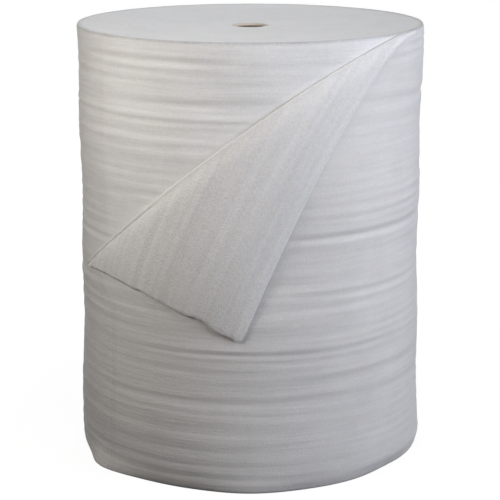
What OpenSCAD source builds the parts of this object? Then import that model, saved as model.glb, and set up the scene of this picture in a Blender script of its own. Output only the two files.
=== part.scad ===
// Foam wrap roll: a web of white polyethylene foam wound on a paperboard core, standing on
// its end, with the corner of the outer turn folded over.
// The origin is where the roll's axis meets the floor. +Z is up, and -Y is the front.
// Angles go round the axis from the front, and are positive towards +X.

/* [Web] */
// Width of the web, which is the height of the standing roll
web_w = 1000; // [800:10:1500]
// Thickness of the foam
web_t = 2; // [1:0.5:5]

/* [Roll] */
// Diameter at the top rim
roll_d = 800; // [600:10:1200]
// How far the side draws in at half height
waist_in = 4; // [0:0.5:12]
// How far the foot swells under the weight above it
foot_out = 8; // [0:0.5:16]
// Radius of the soft edge at the foot
foot_r = 14; // [4:1:30]
// Radius of the edge at the top rim
rim_r = 3; // [1:0.5:8]
// How far the top face sinks towards the core
dish_h = 8; // [1:1:30]

/* [Ridges] */
// Height of the gauge ridges round the side
ridge_h = 2.4; // [0:0.2:4]
// Distance between the main ridges
ridge_pitch = 56; // [40:1:90]

/* [Turn edges] */
// Width of each band of turns that ends at one level
band_w = 12; // [8:1:40]
// How far the bands stand out or back
band_h = 1; // [0.2:0.1:3]

/* [Core] */
// Bore of the paperboard core, a 3 inch size
core_bore_d = 76.2; // [50:0.1:152.4]
// Wall of the core
core_wall = 5; // [2:0.5:12]
// How far the top of the core lies under the foam beside it
core_sunk = 1; // [0:0.5:10]

/* [Folded corner] */
// Angle of the cut end of the web
cut_angle = -56; // [-59:1:-45]
// Angle of the tip at the low end of the fold, which is pulled out past the cut end
tip_angle = -66; // [-72:1:-60]
// Angle at which the fold leaves the top rim
fold_angle = 64; // [55:1:70]
// Drop of the fold under the rim at the tip
fold_drop = 535; // [490:5:570]
// Drop of the fold under the rim at the front
fold_front_drop = 186; // [170:1:195]
// Radius of the fold half way along
fold_r = 7; // [5:0.5:18]
// Radius of the fold at its two ends
fold_end_r = 4; // [2.5:0.5:6]
// Angle of the hanging corner
corner_angle = -2.5; // [-15:0.5:15]
// Drop of the hanging corner under the rim
corner_drop = 656; // [600:1:700]
// Gap between the hanging corner and the roll
corner_gap = 8; // [5:0.5:30]
// How far the cut edge of the flap curves up between its two ends
cut_edge_bow = 40; // [0:1:60]
// How far the cut edge of the flap lifts off between its two ends
cut_edge_lift = 16; // [0:1:50]
// How far the middle of the flap swells outwards
flap_puff = 8; // [0:1:40]
// Height of the edge where the flap ends at the tip
tip_end_h = 6; // [4:1:20]
// Height of the edge where the flap ends at the rim
rim_end_h = 7; // [5:1:20]

/* [Hidden] */

foam_colour = "whitesmoke";
card_colour = "tan";

roll_r = roll_d / 2;
core_r = core_bore_d / 2 + core_wall;
past = 50;                          // how far cutting shapes run past what they cut

// Side of the roll: its radius at a height, with ridges that fade out at the two edges

ridge_share = [0.5, 0.3, 0.2];
ridge_ratio = [1, 0.61, 1.63];      // pitch of each wave against the main one
ridge_phase = [0, 50, 120];
edge_fade = 30;                     // height over which the ridges fade in

function fade(d) = min(1, max(0, d / edge_fade));

function ridge(z) = ridge_h * fade(z) * fade(web_w - z)
    * (ridge_share * [for (i = [0 : 2]) sin(360 * z / (ridge_pitch * ridge_ratio[i]) + ridge_phase[i])]);

function smooth_r(z) = roll_r - waist_in * sin(180 * z / web_w) + foot_out * pow(1 - z / web_w, 3);

side_step = 16;
side_steps = ceil((web_w - foot_r - rim_r) / side_step);

function side_points(inset) = [
    for (i = [0 : side_steps])
        let (z = foot_r + (web_w - rim_r - foot_r) * i / side_steps)
        [smooth_r(z) + ridge(z) - inset, z]
];

edge_steps = 4;

function foot_points(inset) = [
    for (i = [0 : edge_steps - 1])
        let (a = 90 * i / edge_steps)
        [smooth_r(foot_r) + ridge(foot_r) - inset - foot_r * (1 - sin(a)), foot_r * (1 - cos(a))]
];

function rim_points(inset) = [
    for (i = [1 : edge_steps])
        let (a = 90 * i / edge_steps, z = web_w - rim_r)
        [smooth_r(z) + ridge(z) - inset - rim_r * (1 - cos(a)), z + rim_r * sin(a)]
];

// Ends of the roll: bands of turns, each at its own level

inner_r = core_r - core_wall / 2;   // inside the bore that is cut at the end
ends_r = roll_r - waist_in - max(foot_r, rim_r) - band_w / 2;
band_count = floor((ends_r - inner_r) / band_w);
level_turn = 137.5;                 // turns the levels of the bands out of any order

function band_r(k) = inner_r + band_w * k;
function band_level(k) = band_h * (1 + sin(level_turn * k)) / 2;
function dish(r) = dish_h * max(0, 1 - (r - core_r) / (ends_r - core_r));

function top_points() = [
    for (k = [band_count - 1 : -1 : 0])
        let (z = web_w - dish(band_r(k)) - band_level(k))
        each [[band_r(k + 1), z], [band_r(k), z]]
];

// A half of the roll, with the turns drawn in towards its axis by the inset
module half_roll(inset)
    rotate_extrude(angle = 180)
        polygon(concat([[inner_r, 0]], foot_points(inset), side_points(inset),
                       rim_points(inset), top_points()));

// Line of the fold: a plane through its ends and its place at the front

tip_s = sin(tip_angle);
tip_c = 1 - cos(tip_angle);
end_s = sin(fold_angle);
end_c = 1 - cos(fold_angle);
fold_rise = fold_drop - fold_front_drop;
fold_det = tip_c * end_s - tip_s * end_c;
fold_x = (fold_rise * end_c + fold_front_drop * tip_c) / fold_det;
fold_y = (fold_rise * end_s + fold_front_drop * tip_s) / fold_det;
fold_z0 = web_w - fold_front_drop - fold_y;

function fold_z(a) = fold_z0 + fold_x * sin(a) + fold_y * cos(a);
function fold_slope(a) = (fold_x * cos(a) - fold_y * sin(a)) * PI / 180;    // height per degree
function along(a) = (fold_angle - a) / (fold_angle - tip_angle);
function fold_radius(a) = fold_end_r + (fold_r - fold_end_r) * sin(180 * along(a));

// Free edges of the flap: the selvage from the rim down to the corner, then the cut edge

corner_z = web_w - corner_drop;
tip_end_z = web_w - fold_drop - tip_end_h;
selvage_power = 0.94;               // steepens the selvage just above the corner

function selvage_z(x) = corner_z + (corner_drop - rim_end_h) * sin(90 * pow(x, selvage_power));
function cut_edge_z(y) = corner_z + (tip_end_z - corner_z) * y + 4 * cut_edge_bow * y * (1 - y);

function edge_share(a) = (a - corner_angle) / ((a > corner_angle ? fold_angle : tip_angle) - corner_angle);
function edge_z(a) = a > corner_angle ? selvage_z(edge_share(a)) : cut_edge_z(edge_share(a));
function edge_lift(a) = a > corner_angle ? 0 : 4 * cut_edge_lift * edge_share(a) * (1 - edge_share(a));
function edge_gap(a) = corner_gap + (2 * fold_end_r - corner_gap) * edge_share(a) + edge_lift(a);

// Middle surface of the fold and the flap. Rows go from the root in the outer turn (-1),
// over the fold (0 to 1) and down the flap (1 to 2).

root_h = 12;                        // how far the root reaches down into the outer turn

function at(r, a, z) = [r * sin(a), -r * cos(a), z];

function fold_point(a, turn) =
    let (z = fold_z(a), r = fold_radius(a), slope = fold_slope(a) * 180 / (PI * roll_r),
         up = r * sin(180 * turn) / norm([1, slope]))
    at(smooth_r(z) - web_t / 2 + r * (1 - cos(180 * turn)), a, z)
        + up * [-slope * cos(a), -slope * sin(a), 1];

function flap_point(a, v) =
    let (z = fold_z(a) + (edge_z(a) - fold_z(a)) * v,
         first = 2 * fold_radius(a) - web_t / 2,
         puff = 4 * flap_puff * v * (1 - v) * sin(180 * along(a)))
    at(smooth_r(z) + first + (edge_gap(a) - first) * v + puff, a, z);

function root_point(a) = at(smooth_r(fold_z(a)) - 2 * web_t - ridge_h, a, fold_z(a) - root_h);

function sheet_point(a, row) = row < 0 ? root_point(a)
    : row < 1 ? fold_point(a, row)
    : flap_point(a, row - 1);

fold_rows = 6;
flap_rows = 16;
rows = [-1, each [for (i = [0 : fold_rows - 1]) i / fold_rows],
        each [for (i = [0 : flap_rows]) 1 + i / flap_rows]];
selvage_cols = 22;
cut_cols = 18;
angles = [each [for (i = [0 : selvage_cols - 1])
              fold_angle + (corner_angle - fold_angle) * i / selvage_cols],
          each [for (i = [0 : cut_cols])
              corner_angle + (tip_angle - corner_angle) * i / cut_cols]];

// Surfaces of the sheet, half a thickness to each side along the normal of its grid

grid = [for (a = angles) [for (r = rows) sheet_point(a, r)]];
last_row = len(rows) - 1;
last_col = len(angles) - 1;

function normal(i, j) =
    let (across = grid[min(i + 1, last_col)][j] - grid[max(i - 1, 0)][j],
         along = grid[i][min(j + 1, last_row)] - grid[i][max(j - 1, 0)],
         n = cross(along, across))
    n / norm(n);

function face(side) = [
    for (i = [0 : last_col], j = [0 : last_row]) grid[i][j] + side * web_t / 2 * normal(i, j)
];

function id(i, j) = i * (last_row + 1) + j;
face_size = (last_col + 1) * (last_row + 1);

function quad(a, b, c, d) = [[a, b, c], [a, c, d]];
function strip(a, b, up) = up ? quad(a, b, b + face_size, a + face_size)
    : quad(a + face_size, b + face_size, b, a);

sheet_faces = [
    for (i = [0 : last_col - 1], j = [0 : last_row - 1])
        let (a = id(i, j), b = id(i + 1, j), c = id(i + 1, j + 1), d = id(i, j + 1))
        each concat(quad(a, b, c, d), quad(d + face_size, c + face_size, b + face_size, a + face_size)),
    for (i = [0 : last_col - 1])
        each concat(strip(id(i, 0), id(i + 1, 0), false), strip(id(i, last_row), id(i + 1, last_row), true)),
    for (j = [0 : last_row - 1])
        each concat(strip(id(0, j), id(0, j + 1), true), strip(id(last_col, j), id(last_col, j + 1), false))
];

module folded_corner()
    polyhedron(points = concat(face(1), face(-1)), faces = sheet_faces, convexity = 6);

// The outer turn is folded away above the fold, and shows the turn under it

module above_fold() {
    run = roll_r + past;
    top = 2 * web_w;
    tilt = norm([fold_x, fold_y]) / roll_r;
    rotate([0, 0, atan2(-fold_y, fold_x)])
        translate([0, run, 0])
            rotate([90, 0, 0])
                linear_extrude(2 * run)
                    polygon([[-run, fold_z0 - tilt * run], [run, fold_z0 + tilt * run],
                             [run, top], [-run, top]]);
}

clear_angle = 10;                   // how far the sector reaches past the tip

module peeled_sector() {
    first = tip_angle - clear_angle;
    run = 2 * roll_r;
    linear_extrude(2 * web_w)
        polygon([[0, 0], for (a = [first, (first + fold_angle) / 2, fold_angle]) run * [sin(a), -cos(a)]]);
}

// The turns run outwards by one thickness from one side of the cut end to the other: the
// second half is drawn in by half a thickness, and its axis lies half a thickness aside
module wound_turns() {
    cut_turn = cut_angle - 90;      // from the cut end, as the halves are made, to its place
    rotate([0, 0, cut_turn]) {
        difference() {
            half_roll(0);
            rotate([0, 0, -cut_turn])
                intersection() {
                    above_fold();
                    peeled_sector();
                }
        }
        half_roll(web_t);
        translate([-web_t / 2, 0, 0])
            rotate([0, 0, 180])
                half_roll(web_t / 2);
    }
}

module foam_web()
    color(foam_colour)
        difference() {
            union() {
                wound_turns();
                folded_corner();
            }
            translate([0, 0, -past])
                cylinder(r = core_r, h = web_w + 2 * past);
        }

module core_tube() {
    core_len = web_w - dish_h - core_sunk;
    color(card_colour)
        difference() {
            cylinder(r = core_r, h = core_len);
            translate([0, 0, -past])
                cylinder(d = core_bore_d, h = core_len + 2 * past);
        }
}

foam_web();
core_tube();
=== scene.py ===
import math

import bpy
import numpy as np
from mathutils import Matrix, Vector


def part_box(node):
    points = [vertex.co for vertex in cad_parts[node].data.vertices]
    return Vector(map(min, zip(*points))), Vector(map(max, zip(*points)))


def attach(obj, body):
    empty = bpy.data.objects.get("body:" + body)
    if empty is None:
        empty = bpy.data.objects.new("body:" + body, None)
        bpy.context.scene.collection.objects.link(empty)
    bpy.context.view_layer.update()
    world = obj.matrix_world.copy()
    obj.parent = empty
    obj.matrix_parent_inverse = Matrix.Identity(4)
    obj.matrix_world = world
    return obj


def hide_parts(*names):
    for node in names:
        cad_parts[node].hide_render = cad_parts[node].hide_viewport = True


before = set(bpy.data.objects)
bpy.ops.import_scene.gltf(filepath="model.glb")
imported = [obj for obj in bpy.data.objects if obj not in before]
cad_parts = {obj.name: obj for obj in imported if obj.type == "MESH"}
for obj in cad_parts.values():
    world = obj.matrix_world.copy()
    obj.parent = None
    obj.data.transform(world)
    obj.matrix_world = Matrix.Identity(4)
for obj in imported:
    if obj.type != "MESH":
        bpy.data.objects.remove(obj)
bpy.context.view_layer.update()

# Sizes of the roll, in metres, as in the frame
CORE_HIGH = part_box("core_tube")[1]
CORE_R = CORE_HIGH[0]
CORE_TOP = CORE_HIGH[2]
WEB_W = 1.0
WEB_T = 0.002
ROLL_R = 0.4
WAIST_IN = 0.004
FOOT_OUT = 0.008
FOOT_IN = 0.010
FOOT_H = 0.045
RIM_R = 0.002
DISH_H = 0.008

# The folded corner: angles in degrees from the front, drops and gaps in metres
CUT_ANGLE = -56.0
TIP_ANGLE = -68.0
FOLD_ANGLE = 64.0
FOLD_DROP = 0.535
FOLD_FRONT_DROP = 0.186
FOLD_R = 0.0043
FOLD_END_R = 0.0028
CORNER_ANGLE = -2.5
CORNER_DROP = 0.656
CORNER_GAP = 0.005
CUT_EDGE_BOW = 0.040
CUT_EDGE_LIFT = 0.0065
FLAP_PUFF = 0.008
TIP_END_H = 0.006
RIM_END_H = 0.007
SELVAGE_POWER = 0.94

# Grooves that stand out on the side: angle, half spread in degrees, height and depth in metres
MAIN_GROOVES = [
    (-34, 26, 0.955, 0.0024),
    (-28, 20, 0.893, 0.0008),
    (-26, 16, 0.862, 0.0008),
    (-36, 24, 0.772, 0.0004),
    (44, 34, 0.571, 0.0022),
    (44, 38, 0.441, 0.0018),
    (26, 24, 0.414, 0.0010),
    (14, 44, 0.318, 0.0008),
    (-6, 30, 0.268, 0.0006),
    (-20, 36, 0.205, 0.0006),
]
GROOVE_HALF_W = 0.0060

# Where the foot spreads on the floor: angle, spread to its left and right in degrees, distance
FOOT_SPREADS = [(-57, 9, 14, 0.021), (0, 13, 13, 0.008), (52, 12, 12, -0.008)]
FOOT_SPREAD_H = 0.06


# Random numbers, which repeat from run to run

rng = np.random.default_rng(11)


def smooth_noise(values, count, seed):
    """Smooth periodic noise of a value from 0 to 1 round the roll, between -1 and 1."""
    local = np.random.default_rng(seed)
    phases = local.uniform(0, 2 * math.pi, count)
    weights = local.normal(0, 1, count) / np.arange(1, count + 1) ** 0.5
    total = sum(w * np.sin(2 * math.pi * k * values + p)
                for k, (w, p) in enumerate(zip(weights, phases), start=1))
    return total / np.abs(weights).sum()


# Side of the roll

def smooth_radius(height):
    share = np.clip(height / WEB_W, 0, 1)
    return ROLL_R - WAIST_IN * np.sin(math.pi * share) + FOOT_OUT * (1 - share) ** 3


def angle_between(angle, centre):
    return (angle - centre + 180) % 360 - 180


# A groove's lips: their height as a share of its depth, and their distance in half widths
LIP_SHARE = 0.55
LIP_OFF = 2.1


def groove(angle, height, centre, spread, level, depth, half_w, tilt=0.0):
    """A groove with a low lip over and under it, which fades out to both sides."""
    off = angle_between(angle, centre)
    fade = np.exp(-(off / spread) ** 4)
    u = (height - level - tilt * np.radians(off)) / half_w
    return depth * fade * (-np.exp(-u ** 2) + LIP_SHARE * np.exp(-(np.abs(u) - LIP_OFF) ** 2))


FOLDS_A_LEVEL = 3


def random_folds(pitch, base, left_free, jitter, spread, depth, half_w, tilt):
    """Grooves at random angles round the roll, a few for each pitch of height."""
    return [
        dict(
            centre=rng.uniform(-180, 180),
            spread=rng.uniform(*spread),
            level=pitch * (k // FOLDS_A_LEVEL + rng.uniform(-jitter, jitter)) + base,
            depth=rng.uniform(*depth),
            half_w=rng.uniform(*half_w),
            tilt=rng.normal(0, tilt),
        )
        for k in range(FOLDS_A_LEVEL * int((WEB_W - left_free) / pitch))
    ]


PLEATS = random_folds(pitch=0.0175, base=0.02, left_free=0.03, jitter=0.45, spread=(30, 90),
                      depth=(0.0001, 0.0009), half_w=(0.0045, 0.0080), tilt=0.006)
BROAD_FOLDS = random_folds(pitch=0.052, base=0.04, left_free=0.08, jitter=0.4, spread=(35, 75),
                           depth=(0.0003, 0.0013), half_w=(0.010, 0.016), tilt=0.012)


# Parts of the side that lie calmer: angle, its spread, height, its spread, share taken away
CALM_SPOTS = [(-62, 45, 0.12, 0.30, 0.5), (-8, 40, 0.18, 0.15, 0.5), (48, 40, 0.82, 0.16, 0.5)]


def calm(angle, height):
    share = 1.0
    for centre, spread, level, tall, taken in CALM_SPOTS:
        off = angle_between(angle, centre)
        share = share * (1 - taken * np.exp(-(off / spread) ** 2 - ((height - level) / tall) ** 2))
    return share


SWELL = 0.0018
SWELL_PITCH = 0.31
SWELL_SWAY = 1.5
LOW_FADE_H = 0.03
HIGH_FADE_H = 0.02


def relief(angle, height):
    """How far the side stands out (or in) from its smooth radius."""
    total = calm(angle, height) * sum(groove(angle, height, **fold) for fold in PLEATS + BROAD_FOLDS)
    total = total + sum(
        groove(angle, height, centre, spread, level, depth, GROOVE_HALF_W)
        for centre, spread, level, depth in MAIN_GROOVES
    )
    sway = SWELL_SWAY * np.sin(np.radians(angle))
    swell = SWELL * np.sin(2 * math.pi * height / SWELL_PITCH + sway)
    ends = np.clip(height / LOW_FADE_H, 0, 1) * np.clip((WEB_W - height) / HIGH_FADE_H, 0, 1)
    return (total + swell) * ends


def foot_spread(angle, height):
    """How far the foot spreads on the floor, which differs round the roll."""
    total = 0
    for centre, left, right, distance in FOOT_SPREADS:
        off = angle_between(angle, centre)
        total = total + distance * np.exp(-(off / np.where(off < 0, left, right)) ** 2)
    return total * np.clip(1 - height / FOOT_SPREAD_H, 0, 1) ** 2


def edge_drop(height):
    """How far the radius draws in where the side rounds over into the two ends."""
    low = np.clip(1 - height / FOOT_H, 0, 1)
    high = np.clip(1 - (WEB_W - height) / RIM_R, 0, 1)
    return FOOT_IN * (1 - np.sqrt(1 - low ** 2)) + RIM_R * (1 - np.sqrt(1 - high ** 2))


def place(radius, angle, height):
    """A point at an angle in degrees from the front, towards +X."""
    radius, a, height = np.broadcast_arrays(radius, np.radians(angle), height)
    return np.stack([radius * np.sin(a), -radius * np.cos(a), height], axis=-1)


# Line of the fold and free edges of the flap, as in the CAD

def fold_plane():
    tip, end = math.radians(TIP_ANGLE), math.radians(FOLD_ANGLE)
    rows = [[1, 0, 1], [1, math.sin(tip), math.cos(tip)], [1, math.sin(end), math.cos(end)]]
    return np.linalg.solve(rows, [WEB_W - FOLD_FRONT_DROP, WEB_W - FOLD_DROP, WEB_W])


FOLD_BASE, FOLD_X, FOLD_Y = fold_plane()


def fold_height(angle):
    a = np.radians(angle)
    return FOLD_BASE + FOLD_X * np.sin(a) + FOLD_Y * np.cos(a)


def fold_slope(angle):
    a = np.radians(angle)
    return (FOLD_X * np.cos(a) - FOLD_Y * np.sin(a)) / ROLL_R


def along(angle):
    return (FOLD_ANGLE - angle) / (FOLD_ANGLE - TIP_ANGLE)


def fold_radius(angle):
    return FOLD_END_R + (FOLD_R - FOLD_END_R) * np.sin(math.pi * along(angle))


def selvage(angle):
    """Height and gap of the flap's selvage, which runs from the hanging corner to the rim."""
    x = np.clip((angle - CORNER_ANGLE) / (FOLD_ANGLE - CORNER_ANGLE), 0, 1)
    rise = np.sin(math.pi / 2 * x ** SELVAGE_POWER)
    height = WEB_W - CORNER_DROP + (CORNER_DROP - RIM_END_H) * rise
    return height, CORNER_GAP + (2 * FOLD_END_R - CORNER_GAP) * x


def cut_edge(angle):
    """Height and gap of the flap's cut edge, which runs from the hanging corner to the tip."""
    y = np.clip((CORNER_ANGLE - angle) / (CORNER_ANGLE - TIP_ANGLE), 0, 1)
    low = WEB_W - CORNER_DROP
    high = WEB_W - FOLD_DROP - TIP_END_H
    height = low + (high - low) * y + 4 * CUT_EDGE_BOW * y * (1 - y)
    return height, CORNER_GAP + (2 * FOLD_END_R - CORNER_GAP) * y + 4 * CUT_EDGE_LIFT * y * (1 - y)


ROUND_H = 0.010
ROUND_ANGLE = 0.9
RAGGED = 0.0160

# Noise of the ragged cut: its finest wave's count round the roll, and its seed
RAGGED_WAVES = [(40, 5), (170, 6)]

# Degrees over which the ragged cut fades out at the free corner and at the tip
CORNER_FADE = 4
TIP_FADE = 8


def free_edge(angle):
    """Height and gap of the flap's edges, with a rounded corner and an uneven cut."""
    upper, lower = selvage(angle), cut_edge(angle)
    cut = angle < CORNER_ANGLE
    corner_fade = np.clip((CORNER_ANGLE - angle) / CORNER_FADE, 0, 1)
    tip_fade = np.clip((angle - TIP_ANGLE) / TIP_FADE, 0, 1)
    waves = sum(smooth_noise((angle + 180) / 360, count, seed) for count, seed in RAGGED_WAVES)
    uneven = RAGGED * (corner_fade * tip_fade) * waves
    blunt = ROUND_H * np.exp(-((angle - CORNER_ANGLE) / ROUND_ANGLE) ** 2)
    height = np.where(cut, lower[0] + uneven, upper[0]) + blunt
    return height, np.where(cut, lower[1], upper[1])


SELVAGE_POINTS = 160
SELVAGE_RUN_ON = 12


def from_selvage(angle, height):
    """Distance in the foam from the flap's selvage, which its gauge bands run along."""
    stations = np.linspace(CORNER_ANGLE, FOLD_ANGLE, SELVAGE_POINTS)
    line = np.stack([np.radians(stations) * ROLL_R, selvage(stations)[0]], axis=-1)
    line = np.concatenate([line[:1] - (line[1:2] - line[:1]) * SELVAGE_RUN_ON, line])
    points = np.stack([np.radians(angle) * ROLL_R, height], axis=-1)
    best = np.full(angle.shape, np.inf)
    for a, b in zip(line[:-1], line[1:]):
        t = np.clip(((points - a) @ (b - a)) / ((b - a) @ (b - a)), 0, 1)
        near = a + t[..., None] * (b - a)
        best = np.minimum(best, np.linalg.norm(points - near, axis=-1))
    return best


# Meshes

SHARP_ANGLE = math.radians(50)


def new_piece(name, points, faces, web=None):
    mesh = bpy.data.meshes.new(name)
    mesh.from_pydata([tuple(p) for p in points], [], faces)
    mesh.update()
    if web is not None:
        layer = mesh.attributes.new("web", "FLOAT_VECTOR", "POINT")
        layer.data.foreach_set("vector", np.asarray(web, dtype=np.float32).ravel())
    mesh.shade_smooth()
    mesh.set_sharp_from_angle(angle=SHARP_ANGLE)
    piece = bpy.data.objects.new(name, mesh)
    bpy.context.scene.collection.objects.link(piece)
    return piece


def grid_faces(index):
    """Faces between neighbours in an array of point numbers, columns first."""
    corners = np.stack([index[:-1, :-1], index[1:, :-1], index[1:, 1:], index[:-1, 1:]], axis=-1)
    return [tuple(quad) for quad in corners.reshape(-1, 4).tolist()]


SIDE_ROWS = 232
FOOT_ROWS = 16
FOLD_ROWS = 8
FLAP_ROWS = 72
FLAP_ROW_POWER = 1.3


def side_heights(top):
    """Heights of a column's points, closer together at the rounded ends."""
    low = FOOT_H * (1 - np.cos(np.linspace(0, math.pi / 2, FOOT_ROWS)))[:-1]
    return np.concatenate([low, np.linspace(FOOT_H, top, SIDE_ROWS - len(low))])


CUT_STEP = 0.0014


def turn_in(angle):
    """The spiral: how far the last turn draws in from the cut end onwards."""
    return CUT_STEP * (angle - CUT_ANGLE) / 360


def side_point(angle, height, inset):
    radius = (smooth_radius(height) + relief(angle, height) + foot_spread(angle, height)
              - edge_drop(height) - inset)
    return place(radius, angle, height)


def fold_points(angle):
    """Rows of points over the fold at each angle, on the face that was the roll's outer one."""
    turn = np.linspace(0, 1, FOLD_ROWS + 1)[None, 1:-1]
    a = angle[:, None]
    height, slope = fold_height(a), fold_slope(a)
    radius = fold_radius(a) - WEB_T / 2
    up = radius * np.sin(math.pi * turn) / np.hypot(1, slope)
    start = smooth_radius(height) + (relief(a, height) - turn_in(a)) * (1 - turn)
    base = place(start + radius * (1 - np.cos(math.pi * turn)), a, height)
    lean = np.stack([-slope * np.cos(np.radians(a)), -slope * np.sin(np.radians(a)), 1 + 0 * a], -1)
    return base + up[..., None] * lean


# Gauge bands of the flap: pitch, share of their height, phase
BANDS = [(0.034, 1.0, 0), (0.021, 0.8, 1), (0.079, 0.7, 2)]
BAND_HEIGHT = 0.0006
BAND_FADE = 6

# The crease beside the fold near the tip, which fades in over CREASE_FADE degrees
CREASE_DEPTH = 0.004
CREASE_AT = 0.0055
CREASE_HALF_W = 0.0025
CREASE_END = -24
CREASE_FADE = 18

# How far the flap bulges beside the fold
SHOULDER = 0.009
SHOULDER_W = 0.018


def flap_points(angle):
    """Rows of points down the flap at each angle on its face towards the roll, and their depths."""
    v = np.linspace(0, 1, FLAP_ROWS)[None, :] ** FLAP_ROW_POWER
    a = angle[:, None]
    top = fold_height(a)
    low, gap = free_edge(a)
    height = top + (low - top) * v
    first = 2 * fold_radius(a) - WEB_T
    puff = 4 * FLAP_PUFF * v * (1 - v) * np.sin(math.pi * along(a))
    depth = from_selvage(a + 0 * v, height)
    band = BAND_HEIGHT * sum(share * np.sin(2 * math.pi * depth / pitch + phase)
                             for pitch, share, phase in BANDS)
    from_fold = (top - height) / np.hypot(1, fold_slope(a))
    crease = CREASE_DEPTH * np.clip((CREASE_END - a) / CREASE_FADE, 0, 1) * np.exp(
        -((from_fold - CREASE_AT) / CREASE_HALF_W) ** 2)
    rounding = 1 - np.exp(-(from_fold / SHOULDER_W) ** 2)
    shoulder = SHOULDER * np.sin(math.pi * along(a)) * rounding * (1 - v)
    lift = first + (gap - first) * v + puff + shoulder + band * np.minimum(1, BAND_FADE * v)
    return place(smooth_radius(height) + np.maximum(lift - crease, WEB_T), a, height), depth


def grid_normals(grid):
    normal = np.cross(np.gradient(grid, axis=0), np.gradient(grid, axis=1))
    return normal / np.maximum(np.linalg.norm(normal, axis=-1, keepdims=True), 1e-12)


def thick_piece(name, points, normals, faces, web, thickness):
    """A closed piece: the faces, their copy further in, and a wall along each open edge."""
    count = len(points)
    edges = {(face[k - 1], face[k]) for face in faces for k in range(len(face))}
    walls = [(b, a, a + count, b + count) for a, b in sorted(edges) if (b, a) not in edges]
    inner = [tuple(v + count for v in reversed(face)) for face in faces]
    return new_piece(name, np.concatenate([points, points - thickness * normals]),
                     faces + inner + walls, np.concatenate([web, web]))


EDGE_THIN = 0.45
TUCKED_UNDER = 3.0
UNDER_END = 0.0005
FLARE_LOW = 0.385
FLARE_HIGH = 0.455
FLARE_SPREAD = 32
FLARE_POWER = 1.5


def pulled_out(angle, height):
    """Where a point of the web lies: near the fold its cut end is pulled out to the tip."""
    share = np.clip((height - FLARE_LOW) / (FLARE_HIGH - FLARE_LOW), 0, 1)
    weight = np.clip((CUT_ANGLE + FLARE_SPREAD - angle) / FLARE_SPREAD, 0, 1) ** FLARE_POWER
    return angle + (TIP_ANGLE - CUT_ANGLE) * weight * share ** 2 * (3 - 2 * share)


# The last turn's inner end, one turn on from its cut end
TURN_END = CUT_ANGLE + 360

# Columns of the last turn: over the cut edge, over the selvage, behind, and close together at the end
CUT_COLUMNS = 64
SELVAGE_COLUMNS = 42
BACK_COLUMNS = 56
CLOSE_COLUMNS = 9
CLOSE_SPAN = 5
CLOSE_STEP = 1


def outer_columns():
    """Angles of the last turn's columns: those with the fold on top, and those behind."""
    front = np.concatenate([np.linspace(CUT_ANGLE, CORNER_ANGLE, CUT_COLUMNS),
                            np.linspace(CORNER_ANGLE, FOLD_ANGLE, SELVAGE_COLUMNS)[1:]])
    close = np.linspace(TURN_END - CLOSE_SPAN, TURN_END + TUCKED_UNDER, CLOSE_COLUMNS)
    back = np.linspace(FOLD_ANGLE, TURN_END - CLOSE_SPAN - CLOSE_STEP, BACK_COLUMNS)[1:]
    return front, np.concatenate([back, close])


def outer_turn():
    """The last turn of the web with its folded corner: one sheet with two faces."""
    front, back = outer_columns()
    angles = np.concatenate([front, back])
    leant = pulled_out(front, WEB_W)
    tops = np.concatenate([fold_height(leant), np.full(len(back), WEB_W)])
    z = np.stack([side_heights(top) for top in tops])
    a = angles[:, None] + 0 * z
    pulled = pulled_out(a, z)
    sunk = UNDER_END * np.clip((a - TURN_END) / TUCKED_UNDER, 0, 1)
    side = side_point(pulled, z, turn_in(pulled) + sunk)
    length = np.radians(a - CUT_ANGLE) * ROLL_R
    side_web = np.stack([length, WEB_W - z, 0 * a], axis=-1)
    flap, depth = flap_points(leant)
    over = fold_points(leant)
    corner = np.concatenate([over, flap], axis=1)
    crest = np.repeat(side_web[:len(front), -1:], over.shape[1], axis=1)
    flap_web = np.stack([length[:len(front), :1] + 0 * depth, depth, 1 + 0 * depth], axis=-1)
    corner_web = np.concatenate([crest, flap_web], axis=1)

    normals = grid_normals(side)
    folded = grid_normals(np.concatenate([side[:len(front)], corner], axis=1))
    normals[:len(front), -1] = folded[:, SIDE_ROWS - 1]
    side_index = np.arange(z.size).reshape(z.shape)
    corner_index = z.size + np.arange(corner[..., 0].size).reshape(corner.shape[:2])
    faces = grid_faces(side_index)
    faces += grid_faces(np.concatenate([side_index[:len(front), -1:], corner_index], axis=1))
    points = np.concatenate([side.reshape(-1, 3), corner.reshape(-1, 3)])
    normals = np.concatenate([normals.reshape(-1, 3), folded[:, SIDE_ROWS:].reshape(-1, 3)])
    web = np.concatenate([side_web.reshape(-1, 3), corner_web.reshape(-1, 3)])
    thin = np.ones(corner.shape[:2])
    thin[:, -1] = EDGE_THIN
    thickness = WEB_T * np.concatenate([np.ones(z.size), thin.ravel()])[:, None]
    return thick_piece("outer_turn", points, normals, faces, web, thickness)


# The turns under the last one lie deeper where it covers them
SUNK = 0.006
UNDER_MARGIN = 9.0
UNDER_EDGE = 1.5
UNDER_GAP = 0.00015

# Uneven bands of turns at an end: height and count
END_BANDS = [(0.0009, 42), (0.0005, 110)]
END_SWAY = 0.0008
END_SWAY_WAVES = 5
END_WINDING = 0.02


def end_height(radius, angle, seed):
    """Level of the turns at an end: a shallow dish with bands of turns that stand out or back."""
    share = np.clip((radius - CORE_R) / (ROLL_R - CORE_R), 0, 1)
    winding = share - END_WINDING * angle / 360
    bands = sum(height * smooth_noise(winding, count, seed + k)
                for k, (height, count) in enumerate(END_BANDS))
    sway = END_SWAY * smooth_noise(angle / 360, END_SWAY_WAVES, seed + len(END_BANDS)) * share
    return bands + sway


FRONT_COLUMNS = 120
HIND_COLUMNS = 100
LOW_PART_H = 0.42
LOW_ROWS = 8
HIGH_ROWS = 148
RIM_H = 0.004
RIM_ROWS = 6


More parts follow.
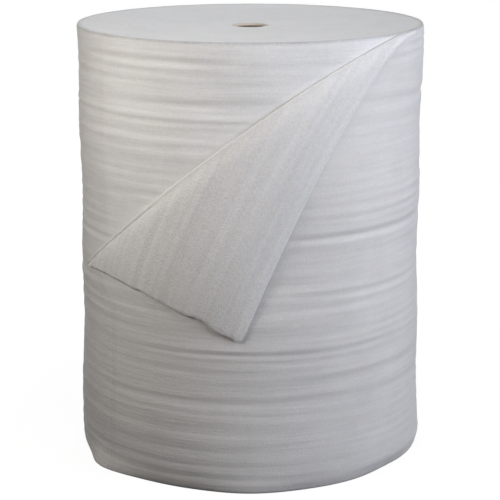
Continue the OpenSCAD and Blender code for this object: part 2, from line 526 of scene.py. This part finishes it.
def under_grid():
    """Angles and heights of the side of the turns under the last one."""
    first, last = TIP_ANGLE - UNDER_MARGIN, FOLD_ANGLE + UNDER_MARGIN
    angles = np.concatenate([np.linspace(first, last, FRONT_COLUMNS),
                             np.linspace(last, first + 360, HIND_COLUMNS)[1:-1]])
    rim = WEB_W - RIM_H
    heights = np.concatenate([
        np.linspace(0.0, LOW_PART_H, LOW_ROWS)[:-1],
        np.linspace(LOW_PART_H, rim, HIGH_ROWS),
        rim + RIM_H * np.sin(np.linspace(0, math.pi / 2, RIM_ROWS))[1:],
    ])
    return np.meshgrid(angles, heights, indexing="ij")


# Where the turns under the last one come up to its level: below the fold, and below the rim
FOLD_COVER = 0.06
FOLD_COVER_FADE = 0.04
RIM_COVER = 0.04
RIM_COVER_FADE = 0.03


def covered(a, z):
    """1 where the last turn hides the turns under it, 0 where they show."""
    last = FOLD_ANGLE + UNDER_MARGIN
    inside = np.clip(np.minimum((a - CUT_ANGLE + UNDER_EDGE) / UNDER_EDGE, (last - a) / UNDER_MARGIN), 0, 1)
    above = np.clip((z - fold_height(a) + FOLD_COVER) / FOLD_COVER_FADE, 0, 1)
    return 1 - np.maximum(np.minimum(inside, above), np.clip((z - WEB_W + RIM_COVER) / RIM_COVER_FADE, 0, 1))


END_RINGS = 96
FOOT_RINGS = 12
END_SEED = 31
END_LEVEL = 0.0006
END_SETTLE = 0.02
BORE_LIP = 0.002


def wound_foam():
    """The turns under the last one, with the two ends of the roll and the hole for the core."""
    a, z = under_grid()
    angles = a[:, :1]
    turns_in = turn_in(np.maximum(a, CUT_ANGLE) + 360)
    side = side_point(a, z, turns_in + UNDER_GAP + SUNK * covered(a, z))[:, :-1]
    rim, foot_rim = np.linalg.norm(side[:, [-1, 0], :2], axis=-1).T[:, :, None]
    share = np.linspace(1, 0, END_RINGS)[None, :]
    radius = CORE_R + (rim - CORE_R) * share
    ring_angle = angles + 0 * share
    settle = np.clip((1 - share) / END_SETTLE, 0, 1)
    uneven = (end_height(radius, ring_angle, END_SEED) - END_LEVEL) * settle
    top = place(radius, ring_angle, WEB_W - DISH_H * (1 - share) + uneven)
    bore = place(CORE_R, ring_angle[:, :2], np.array([[CORE_TOP - BORE_LIP, 0.0]]))
    foot_share = np.linspace(0, 1, FOOT_RINGS)[None, 1:-1]
    foot_r = CORE_R + (foot_rim - CORE_R) * foot_share
    foot = place(foot_r, angles + 0 * foot_share, 0.0)
    loop = np.concatenate([side, top, bore, foot], axis=1)
    length, drop = np.radians(a - CUT_ANGLE + 360) * ROLL_R, WEB_W - z
    web = np.concatenate([
        np.stack([length[:, :-1], drop[:, :-1], 0 * drop[:, :-1]], axis=-1),
        np.stack([0 * radius, 0 * radius, 0 * radius + 2], axis=-1),
        np.zeros(bore.shape),
        np.zeros(foot.shape),
    ], axis=1)
    index = np.arange(loop[..., 0].size).reshape(loop.shape[:2])
    index = np.concatenate([index, index[:1]])
    faces = grid_faces(np.concatenate([index, index[:, :1]], axis=1))
    return new_piece("wound_foam", loop.reshape(-1, 3), faces, web.reshape(-1, 3))


# Materials

class Nodes:
    """Short ways to add and link the nodes of one material."""

    def __init__(self, name):
        self.material = bpy.data.materials.new(name)
        self.material.use_nodes = True
        self.tree = self.material.node_tree
        self.shader = self.tree.nodes["Principled BSDF"]

    def add(self, kind, **values):
        node = self.tree.nodes.new(kind)
        for key, value in values.items():
            setattr(node, key, value)
        return node

    def link(self, source, target):
        self.tree.links.new(source, target)

    def math(self, operation, a, b=None):
        node = self.add("ShaderNodeMath", operation=operation)
        for socket, value in zip(node.inputs, (a, b)):
            if isinstance(value, (int, float)):
                socket.default_value = value
            elif value is not None:
                self.link(value, socket)
        return node.outputs[0]

    def noise(self, vector, scale, detail=2.0, rough=0.5):
        node = self.add("ShaderNodeTexNoise")
        node.inputs["Scale"].default_value = scale
        node.inputs["Detail"].default_value = detail
        node.inputs["Roughness"].default_value = rough
        self.link(vector, node.inputs["Vector"])
        return node.outputs["Fac"]

    def combine(self, x, y, z):
        node = self.add("ShaderNodeCombineXYZ")
        for socket, value in zip(node.inputs, (x, y, z)):
            if isinstance(value, (int, float)):
                socket.default_value = value
            else:
                self.link(value, socket)
        return node.outputs[0]

    def ramp(self, value, stops):
        node = self.add("ShaderNodeValToRGB")
        for k, (at, colour) in enumerate(stops):
            stop = node.color_ramp.elements[k] if k < 2 else node.color_ramp.elements.new(at)
            stop.position = at
            stop.color = (*colour, 1)
        self.link(value, node.inputs["Fac"])
        return node.outputs["Color"]

    def bump(self, height, distance, strength=1.0, normal=None):
        node = self.add("ShaderNodeBump")
        node.inputs["Distance"].default_value = distance
        node.inputs["Strength"].default_value = strength
        self.link(height, node.inputs["Height"])
        if normal is not None:
            self.link(normal, node.inputs["Normal"])
        return node.outputs["Normal"]


# FOAM_SHADE is the darkest colour of the foam, which the painted shade at the rims and on the cut lines
# reaches
FOAM_LIGHT = (0.90, 0.90, 0.90)
FOAM_DARK = (0.74, 0.74, 0.74)
FOAM_SHADE = (0.52, 0.52, 0.53)
GRAIN_MIDDLE = 0.7
GRAIN_SLOPE = 1.2
GRAIN_LEAST = 0.4
CELL_SCALE = 330
FLAP_CELL_SCALE = 290
GRAIN_SCALE = 190
CLOUD_SCALE = 11


def foam_tone(n, place_in, streaks, shares):
    """Grain, clouds and streaks mixed to one value, which sets the colour of the foam."""
    grain = n.noise(place_in, GRAIN_SCALE, 3.0, 0.65)
    clouds = n.noise(place_in, CLOUD_SCALE, 3.0, 0.5)
    parts = [n.math("MULTIPLY", value, share) for value, share in zip((grain, clouds, streaks), shares)]
    return grain, n.math("ADD", n.math("ADD", parts[0], parts[1]), parts[2])


def cells(n, place_in, scale=CELL_SCALE):
    node = n.add("ShaderNodeTexVoronoi")
    node.inputs["Scale"].default_value = scale
    n.link(place_in, node.inputs["Vector"])
    return node.outputs["Distance"]


def uneven_share(n, place_in):
    """How strong the grain is: full at the left of the roll, and weaker towards its right."""
    position = n.add("ShaderNodeSeparateXYZ")
    n.link(place_in, position.inputs[0])
    share = n.math("SUBTRACT", GRAIN_MIDDLE, n.math("MULTIPLY", position.outputs[0], GRAIN_SLOPE))
    return n.math("MINIMUM", n.math("MAXIMUM", share, GRAIN_LEAST), 1.0)


def web_place(n):
    """A point's distance along the web from the cut end, and across it from the upper selvage."""
    parts = n.add("ShaderNodeSeparateXYZ")
    n.link(n.add("ShaderNodeAttribute", attribute_name="web").outputs["Vector"], parts.inputs[0])
    return parts


def web_streaks(n, along, across):
    """Streaks that run along the web."""
    parts = web_place(n)
    return n.noise(n.combine(n.math("MULTIPLY", parts.outputs[0], along),
                             n.math("MULTIPLY", parts.outputs[1], across), 0.0), 1.0, 2.0, 0.55)


def turn_lines(n, place_in):
    """The edges of the turns at an end: fine lines one thickness apart, and wider rings."""
    position = n.add("ShaderNodeSeparateXYZ")
    n.link(place_in, position.inputs[0])
    radius = n.math("SQRT", n.math("ADD", n.math("POWER", position.outputs[0], 2.0),
                                   n.math("POWER", position.outputs[1], 2.0)))
    turn = n.math("MULTIPLY", n.math("ARCTAN2", position.outputs[1], position.outputs[0]),
                  WEB_T / (2 * math.pi))
    wound = n.math("ADD", radius, turn)
    edge = n.math("ABSOLUTE", n.math("SUBTRACT", n.math("FRACT", n.math("DIVIDE", wound, WEB_T)), 0.5))
    rings = n.noise(n.combine(n.math("MULTIPLY", wound, 130), 0.0, 0.0), 1.0, 3.0, 0.6)
    return edge, rings


# Painted shade on the outermost turns at each end of the roll, which darkens the rim
END_RIM_SHADE_FROM = ROLL_R - 0.018
END_RIM_SHADE_W = 0.012
END_RIM_SHADE = 0.4


def end_rim_shade(n, place_in):
    """1 at the last few turns of an end, where painted shade darkens the rim."""
    radius = n.add("ShaderNodeVectorMath", operation="LENGTH")
    flat = n.add("ShaderNodeVectorMath", operation="MULTIPLY")
    flat.inputs[1].default_value = (1, 1, 0)
    n.link(place_in, flat.inputs[0])
    n.link(flat.outputs["Vector"], radius.inputs[0])
    share = n.math("DIVIDE", n.math("SUBTRACT", radius.outputs["Value"], END_RIM_SHADE_FROM), END_RIM_SHADE_W)
    return n.math("MINIMUM", n.math("MAXIMUM", share, 0.0), 1.0)


def finish_foam(n, tone, normal, spread, dark=FOAM_DARK, light=FOAM_LIGHT):
    n.link(n.ramp(tone, [(0.0, FOAM_SHADE), (0.5 - spread, dark), (0.5 + spread, light)]),
           n.shader.inputs["Base Color"])
    n.link(normal, n.shader.inputs["Normal"])
    n.shader.inputs["Roughness"].default_value = 0.6
    n.shader.inputs["IOR"].default_value = 1.4
    n.shader.inputs["Specular IOR Level"].default_value = 0.12
    n.shader.inputs["Subsurface Weight"].default_value = 0.5
    n.shader.inputs["Subsurface Radius"].default_value = (0.9, 1.0, 1.1)
    n.shader.inputs["Subsurface Scale"].default_value = 0.006
    return n.material


# Painted shade along the top of the side: the upper part of the web darkens towards the rim
SIDE_RIM_SHADE_H = 0.008
SIDE_RIM_SHADE = 0.5
# Painted shade lines on the last turn just past its cut end: their distances along the web, width and
# strength
CUT_SHADE_LINES = (0.033, 0.043)
CUT_SHADE_LINE_W = 0.0040
CUT_SHADE_STRENGTH = 0.18


def cut_line_shade(n):
    """1 on two faint painted shade lines on the last turn just past its cut end, 0 beside them."""
    length = web_place(n).outputs[0]
    total = 0.0
    for line_at in CUT_SHADE_LINES:
        off = n.math("DIVIDE", n.math("ABSOLUTE", n.math("SUBTRACT", length, line_at)), CUT_SHADE_LINE_W)
        total = n.math("ADD", total, n.math("MAXIMUM", n.math("SUBTRACT", 1.0, off), 0.0))
    return total


def wound_material():
    """The foam of the side, with its grain, its faint streaks along the web, and painted shade at the top
    rim and on two lines past the cut end.
    """
    n = Nodes("foam_side")
    place_in = n.add("ShaderNodeTexCoord").outputs["Object"]
    streaks = web_streaks(n, 8.0, 130)
    grain, tone = foam_tone(n, place_in, streaks, (0.4, 0.3, 0.3))
    # Painted shade: two faint dark lines just past the last turn's cut end
    tone = n.math("SUBTRACT", tone, n.math("MULTIPLY", cut_line_shade(n), CUT_SHADE_STRENGTH))
    # Painted shade that darkens the side towards its top rim
    from_edge = n.math("DIVIDE", web_place(n).outputs[1], SIDE_RIM_SHADE_H)
    edge = n.math("MAXIMUM", n.math("SUBTRACT", 1.0, from_edge), 0.0)
    tone = n.math("SUBTRACT", tone, n.math("MULTIPLY", edge, SIDE_RIM_SHADE))
    share = uneven_share(n, place_in)
    normal = n.bump(n.math("MULTIPLY", cells(n, place_in), share), 0.0006, 0.35)
    normal = n.bump(n.math("MULTIPLY", grain, share), 0.0010, 0.4, normal)
    normal = n.bump(n.math("MULTIPLY", streaks, share), 0.0016, 0.5, normal)
    return finish_foam(n, tone, normal, 0.2)


# Painted light: the flap's foam is a lighter copy of the roll's foam, so that the single layer shows lighter
# under the same lamps
FLAP_LIT_LIGHT = (0.94, 0.945, 0.95)
FLAP_LIT_DARK = (0.78, 0.785, 0.79)


def flap_material():
    """The single layer of the folded corner, whose cells and streaks show more, in a lighter copy of the
    foam's colour that paints light on it.
    """
    n = Nodes("foam_flap")
    place_in = n.add("ShaderNodeTexCoord").outputs["Object"]
    streaks = web_streaks(n, 1.5, 60)
    grain, tone = foam_tone(n, place_in, streaks, (0.5, 0.05, 0.45))
    share = uneven_share(n, place_in)
    normal = n.bump(n.math("MULTIPLY", cells(n, place_in, FLAP_CELL_SCALE), share), 0.0014, 0.5)
    normal = n.bump(n.math("MULTIPLY", grain, share), 0.0014, 0.6, normal)
    normal = n.bump(streaks, 0.0030, 0.5, normal)
    return finish_foam(n, tone, normal, 0.12, FLAP_LIT_DARK, FLAP_LIT_LIGHT)


def ends_material():
    """The ends of the roll, where the edges of the turns lie side by side, with painted shade on the
    outermost turns.
    """
    n = Nodes("foam_ends")
    place_in = n.add("ShaderNodeTexCoord").outputs["Object"]
    edge, rings = turn_lines(n, place_in)
    grain, tone = foam_tone(n, place_in, rings, (0.35, 0.25, 0.4))
    # Painted shade darkens the outermost turns at the rim
    tone = n.math("SUBTRACT", tone, n.math("MULTIPLY", end_rim_shade(n, place_in), END_RIM_SHADE))
    normal = n.bump(edge, 0.0008, 0.35)
    normal = n.bump(rings, 0.0024, 0.4, normal)
    normal = n.bump(grain, 0.0008, 0.4, normal)
    return finish_foam(n, tone, normal, 0.22)


CARD_LIGHT = (0.30, 0.225, 0.16)
CARD_DARK = (0.16, 0.12, 0.085)
# Pale colour of the frayed card at the top of the core, painted paler as light on the top of its inner wall
CARD_FRAYED_AND_LIT = (0.80, 0.74, 0.64)
FRAYED_AND_LIT_H = 0.0042
PLY_PITCH = 0.11
PLY_SEAM = 0.485
FIBRE_SCALE = 220
FIBRE_SQUEEZE = 4.0
BLOTCH_SCALE = 40


def card_material():
    n = Nodes("paperboard")
    place_in = n.add("ShaderNodeTexCoord").outputs["Object"]
    position = n.add("ShaderNodeSeparateXYZ")
    n.link(place_in, position.inputs[0])
    turn = n.math("DIVIDE", n.math("ARCTAN2", position.outputs[1], position.outputs[0]), 2 * math.pi)
    climb = n.math("FRACT", n.math("ADD", turn, n.math("DIVIDE", position.outputs[2], PLY_PITCH)))
    seam = n.math("GREATER_THAN", n.math("ABSOLUTE", n.math("SUBTRACT", climb, 0.5)), PLY_SEAM)
    squeezed = n.math("MULTIPLY", position.outputs[2], FIBRE_SQUEEZE)
    fibre_place = n.combine(position.outputs[0], position.outputs[1], squeezed)
    fibres = n.noise(fibre_place, FIBRE_SCALE, 5.0, 0.7)
    blotches = n.noise(place_in, BLOTCH_SCALE, 3.0, 0.6)
    tone = n.math("ADD", n.math("MULTIPLY", fibres, 0.6), n.math("MULTIPLY", blotches, 0.4))
    tone = n.math("SUBTRACT", tone, n.math("MULTIPLY", seam, 0.35))
    height = n.math("ADD", position.outputs[2], n.math("MULTIPLY", fibres, 0.002))
    # Frayed card at the top of the core, with painted light that makes the band paler
    frayed_and_lit = n.math("DIVIDE", n.math("SUBTRACT", height, CORE_TOP - FRAYED_AND_LIT_H), 0.001)
    frayed_and_lit = n.math("MINIMUM", n.math("MAXIMUM", frayed_and_lit, 0.0), 1.0)
    tone = n.math("ADD", n.math("MULTIPLY", tone, 0.7), n.math("MULTIPLY", frayed_and_lit, 0.6))
    n.link(n.ramp(tone, [(0.175, CARD_DARK), (0.49, CARD_LIGHT), (0.9, CARD_FRAYED_AND_LIT)]),
           n.shader.inputs["Base Color"])
    n.link(n.bump(fibres, 0.0004, 0.5, n.bump(seam, 0.0006, 0.6)), n.shader.inputs["Normal"])
    n.shader.inputs["Roughness"].default_value = 0.85
    n.shader.inputs["Specular IOR Level"].default_value = 0.25
    return n.material


# Floor, world, lights and camera

FLOOR_HALF = 30.0
FLOOR_TONE = 0.08
AMBIENT = 0.025

# Near the roll the floor glows less, so that the light it gets and its shadow show
GLOW_DIP = 0.06
GLOW_DIP_R = 1.1


def shown_rays(n):
    """1 for rays from the camera, and for those that a gloss or a clear piece sends on."""
    path = n.add("ShaderNodeLightPath").outputs
    seen = n.math("ADD", path["Is Camera Ray"], path["Is Glossy Ray"])
    seen = n.math("ADD", seen, path["Is Transmission Ray"])
    return n.math("MINIMUM", seen, 1.0)


def floor_piece():
    half = FLOOR_HALF
    corners = [(-half, -half, 0), (half, -half, 0), (half, half, 0), (-half, half, 0)]
    floor = new_piece("floor", corners, [(0, 1, 2, 3)])
    n = Nodes("floor")
    n.shader.inputs["Base Color"].default_value = (FLOOR_TONE, FLOOR_TONE, FLOOR_TONE, 1)
    n.shader.inputs["Roughness"].default_value = 0.9
    n.shader.inputs["Specular IOR Level"].default_value = 0.0
    n.shader.inputs["Emission Color"].default_value = (1, 1, 1, 1)
    distance = n.add("ShaderNodeVectorMath", operation="LENGTH")
    n.link(n.add("ShaderNodeTexCoord").outputs["Object"], distance.inputs[0])
    share = n.math("DIVIDE", distance.outputs["Value"], GLOW_DIP_R)
    dip = n.math("POWER", math.e, n.math("MULTIPLY", n.math("MULTIPLY", share, share), -1.0))
    glow = n.math("SUBTRACT", 1.0, n.math("MULTIPLY", dip, GLOW_DIP))
    n.link(n.math("MULTIPLY", shown_rays(n), glow), n.shader.inputs["Emission Strength"])
    floor.data.materials.append(n.material)


def world_light():
    world = bpy.data.worlds.new("studio")
    bpy.context.scene.world = world
    world.use_nodes = True
    tree = world.node_tree
    tree.nodes.clear()
    output = tree.nodes.new("ShaderNodeOutputWorld")
    path = tree.nodes.new("ShaderNodeLightPath")
    sent_on = tree.nodes.new("ShaderNodeMath")
    sent_on.operation = "MAXIMUM"
    tree.links.new(path.outputs["Is Glossy Ray"], sent_on.inputs[0])
    tree.links.new(path.outputs["Is Transmission Ray"], sent_on.inputs[1])
    seen = tree.nodes.new("ShaderNodeMath")
    seen.operation = "MAXIMUM"
    tree.links.new(path.outputs["Is Camera Ray"], seen.inputs[0])
    tree.links.new(sent_on.outputs[0], seen.inputs[1])
    lit = tree.nodes.new("ShaderNodeBackground")
    lit.inputs["Color"].default_value = (1, 1, 1, 1)
    lit.inputs["Strength"].default_value = AMBIENT
    white = tree.nodes.new("ShaderNodeBackground")
    white.inputs["Color"].default_value = (1, 1, 1, 1)
    mix = tree.nodes.new("ShaderNodeMixShader")
    tree.links.new(seen.outputs[0], mix.inputs[0])
    tree.links.new(lit.outputs[0], mix.inputs[1])
    tree.links.new(white.outputs[0], mix.inputs[2])
    tree.links.new(mix.outputs[0], output.inputs["Surface"])


LAMP_AIM = Vector((0, 0, 0.6))

# Lamps round the roll: name, angle from the front, height, distance from the axis, size, power, colour
LAMPS = [
    ("left", -47, 1.17, 1.40, 0.4, 7.8, (1.0, 0.945, 0.885)),
    ("front", 2, 2.24, 1.38, 0.6, 6.4, (1.0, 0.99, 0.965)),
    ("low", 32, 1.00, 1.40, 0.4, 1.9, (0.95, 0.96, 1.0)),
    ("right", 60, 1.70, 3.20, 1.3, 64, (0.89, 0.91, 1.0)),
    ("back", 184, 2.45, 2.50, 1.4, 35, (0.97, 0.98, 1.0)),
]


def soft_box(name, location, size, power, colour):
    light = bpy.data.lights.new(name, "AREA")
    light.shape = "SQUARE"
    light.size = size
    light.energy = power
    light.color = colour
    lamp = bpy.data.objects.new(name, light)
    lamp.location = location
    lamp.rotation_euler = (LAMP_AIM - Vector(location)).to_track_quat("-Z", "Y").to_euler()
    bpy.context.scene.collection.objects.link(lamp)


def lamps():
    for name, angle, height, from_axis, size, power, colour in LAMPS:
        soft_box(name, place(from_axis, angle, height).tolist(), size, power, colour)


CAMERA_AT = (0.0, -3.960, 1.4455)
CAMERA_PITCH = 14.03
FOCAL_PX = 1711.7
PICTURE_PX = 500
SENSOR_MM = 36.0


def camera():
    data = bpy.data.cameras.new("camera")
    data.sensor_width = SENSOR_MM
    data.lens = FOCAL_PX * SENSOR_MM / PICTURE_PX
    data.clip_end = 100
    eye = bpy.data.objects.new("camera", data)
    eye.location = CAMERA_AT
    eye.rotation_euler = (math.radians(90 - CAMERA_PITCH), 0, 0)
    bpy.context.scene.collection.objects.link(eye)
    bpy.context.scene.camera = eye


# The scene

# Faces of the turns that count as an end: how near to it, and the least upright part of the normal
END_ZONE = 0.02
END_SLOPE = 0.35

side_foam, flap_foam, ends_foam = wound_material(), flap_material(), ends_material()

turns = wound_foam()
turns.data.materials.append(side_foam)
turns.data.materials.append(ends_foam)
# Faces near an end, the rounded rim among them, take the ends' foam with its painted rim shade
for face in turns.data.polygons:
    near_end = abs(face.center.z - WEB_W / 2) > WEB_W / 2 - END_ZONE
    if near_end and abs(face.normal.z) > END_SLOPE:
        face.material_index = 1
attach(turns, "root")
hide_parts("foam_web")

last_turn = outer_turn()
last_turn.data.materials.append(side_foam)
last_turn.data.materials.append(flap_foam)
web_places = last_turn.data.attributes["web"].data
for face in last_turn.data.polygons:
    if all(web_places[v].vector[2] > 0.5 for v in face.vertices):
        face.material_index = 1
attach(last_turn, "root")
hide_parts("foam_web")

core = bpy.data.objects["core_tube"]
core.data.materials.clear()
core.data.materials.append(card_material())

floor_piece()
world_light()
lamps()
camera()
bpy.context.scene.view_settings.view_transform = "Standard"

bpy.context.view_layer.update()
